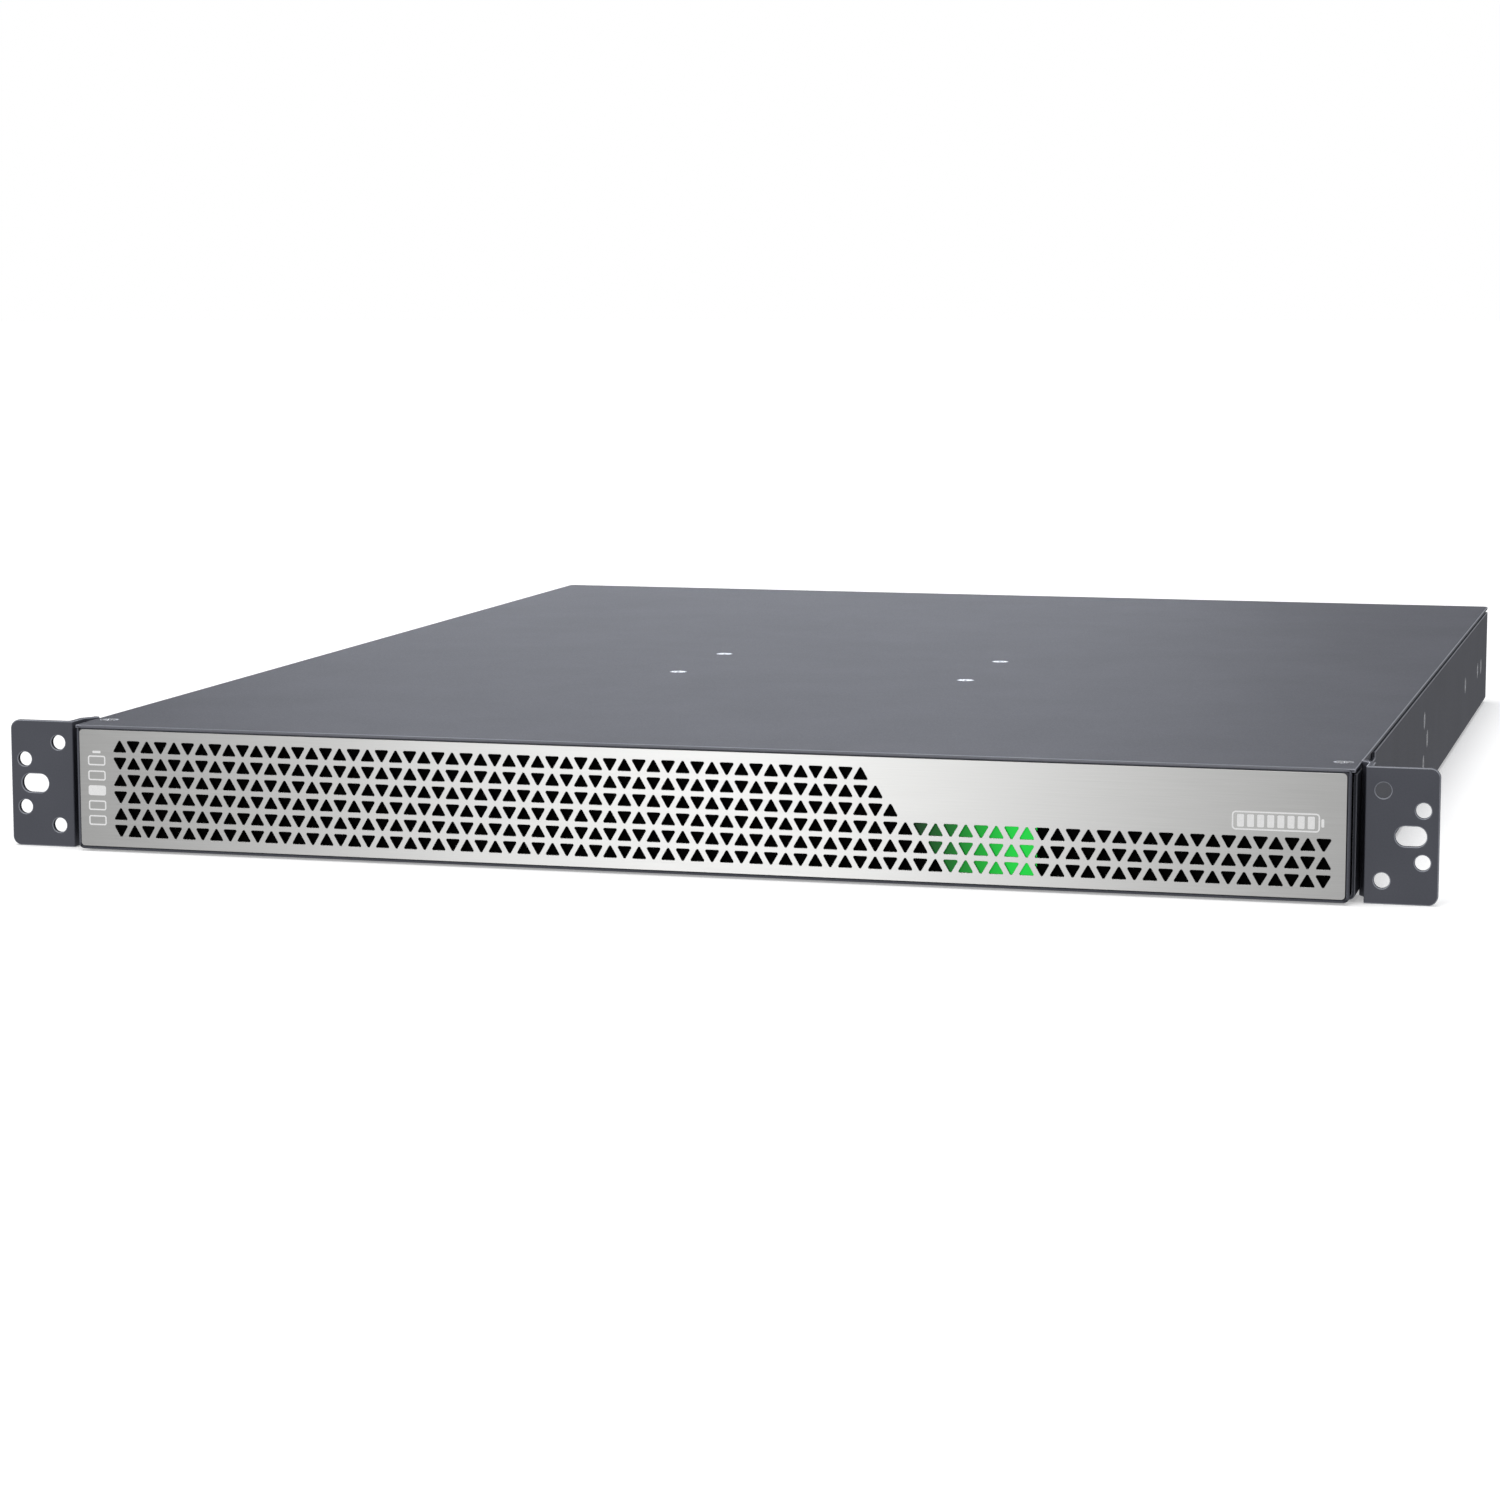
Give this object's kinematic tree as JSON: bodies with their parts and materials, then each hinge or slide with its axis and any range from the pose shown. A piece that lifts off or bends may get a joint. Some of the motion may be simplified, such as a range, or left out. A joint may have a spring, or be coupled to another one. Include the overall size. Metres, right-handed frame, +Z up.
{
  "type": "server rack battery",
  "caption": "Flat rack-mount lithium-ion battery pack with punched ears, a pull-off perforated bezel with a green status light, and rear power and data sockets.",
  "frame": {"origin": "centre of the rack ears' front face, midway between the two rack slots", "axes": "+Y into the rack, from the ears to the rear sockets; +X to the right seen from the front; +Z up"},
  "size_m": [0.4826, 0.567, 0.0432],
  "materials": {
    "case_paint": "fine-textured powder coat",
    "faceplate": "brushed along its length",
    "bezel_plastic": "moulded, fine grain",
    "filter_foam": "open foam",
    "light_guide": "clear, lit green from behind",
    "zinc_screw": "zinc plated",
    "black_plastic": "moulded",
    "cell_wrap": null,
    "holder_plastic": "moulded",
    "nickel": "rolled strip",
    "copper": "rolled bar",
    "insulating_film": "film",
    "circuit_board": "solder mask",
    "diode_white": "moulded",
    "heatsink_aluminium": "anodised",
    "component_black": "moulded",
    "galvanised": "zinc-coated sheet",
    "button_green": "moulded",
    "port_metal": "plated shell",
    "gold_contact": "plated"
  },
  "bodies": {
    "chassis": {"bezel_ball_studs": "zinc_screw", "board_capacitors": "component_black", "board_heatsink": "heatsink_aluminium", "board_side_shelves": "galvanised", "board_transistors": "component_black", "breaker_body": "black_plastic", "centre_brace": "galvanised", "chassis_tray": "case_paint", "comm_port_contacts": "gold_contact", "comm_port_shells": "port_metal", "cover_screws": "zinc_screw", "cover_stiffener": "galvanised", "cover_tab_screws": "zinc_screw", "ear_screws": "zinc_screw", "fan_frames": "black_plastic", "fan_guards": "port_metal", "floor_insulator": "insulating_film", "front_panel": "case_paint", "ground_nut": "gold_contact", "ground_stud": "gold_contact", "left_rack_ear": "case_paint", "light_board_posts": "zinc_screw", "main_contactor": "component_black", "main_fuse": "diode_white", "module_1_cells": "cell_wrap", "module_1_holder": "holder_plastic", "module_2_cells": "cell_wrap", "module_2_holder": "holder_plastic", "module_3_cells": "cell_wrap", "module_3_holder": "holder_plastic", "module_4_cells": "cell_wrap", "module_4_holder": "holder_plastic", "module_5_cells": "cell_wrap", "module_5_holder": "holder_plastic", "module_6_cells": "cell_wrap", "module_6_holder": "holder_plastic", "module_busbars": "nickel", "module_link_bars": "copper", "power_bars": "copper", "power_board": "circuit_board", "power_connector_blades": "gold_contact", "power_connector_housings": "black_plastic", "rear_panel": "case_paint", "rear_panel_screws": "zinc_screw", "right_rack_ear": "case_paint", "side_screws": "zinc_screw", "status_cable": "black_plastic", "status_leds": "diode_white", "status_light_board": "circuit_board", "top_cover": "case_paint", "wake_button_bush": "port_metal"},
    "front_bezel": {"bezel_frame": "bezel_plastic", "bezel_faceplate": "faceplate", "bezel_air_filter": "filter_foam", "bezel_light_guide": "light_guide", "bezel_snap_sockets": "black_plastic"},
    "breaker_lever": {"breaker_toggle": "diode_white"},
    "wake_button": {"wake_button_cap": "button_green"},
    "left_fan": {"left_fan_rotor": "black_plastic"},
    "right_fan": {"right_fan_rotor": "black_plastic"}
  },
  "joints": [
    {"name": "bezel_pull_off", "type": "slide", "parent": "chassis", "child": "front_bezel", "axis": [0, -1, 0], "range_m": [0, 0.06]},
    {"name": "breaker_throw", "type": "hinge", "parent": "chassis", "child": "breaker_lever", "pos_m": [0.068, 0.5465, 0], "axis": [1, 0, 0], "range_deg": [-40, 0]},
    {"name": "wake_button_press", "type": "slide", "parent": "chassis", "child": "wake_button", "axis": [0, -1, 0], "range_m": [0, 0.0012], "stiffness_N_per_m": 600},
    {"name": "left_fan_spin", "type": "hinge", "parent": "chassis", "child": "left_fan", "pos_m": [-0.182, 0.535, 0], "axis": [0, 1, 0], "continuous": true},
    {"name": "right_fan_spin", "type": "hinge", "parent": "chassis", "child": "right_fan", "pos_m": [-0.136, 0.535, 0], "axis": [0, 1, 0], "continuous": true}
  ]
}
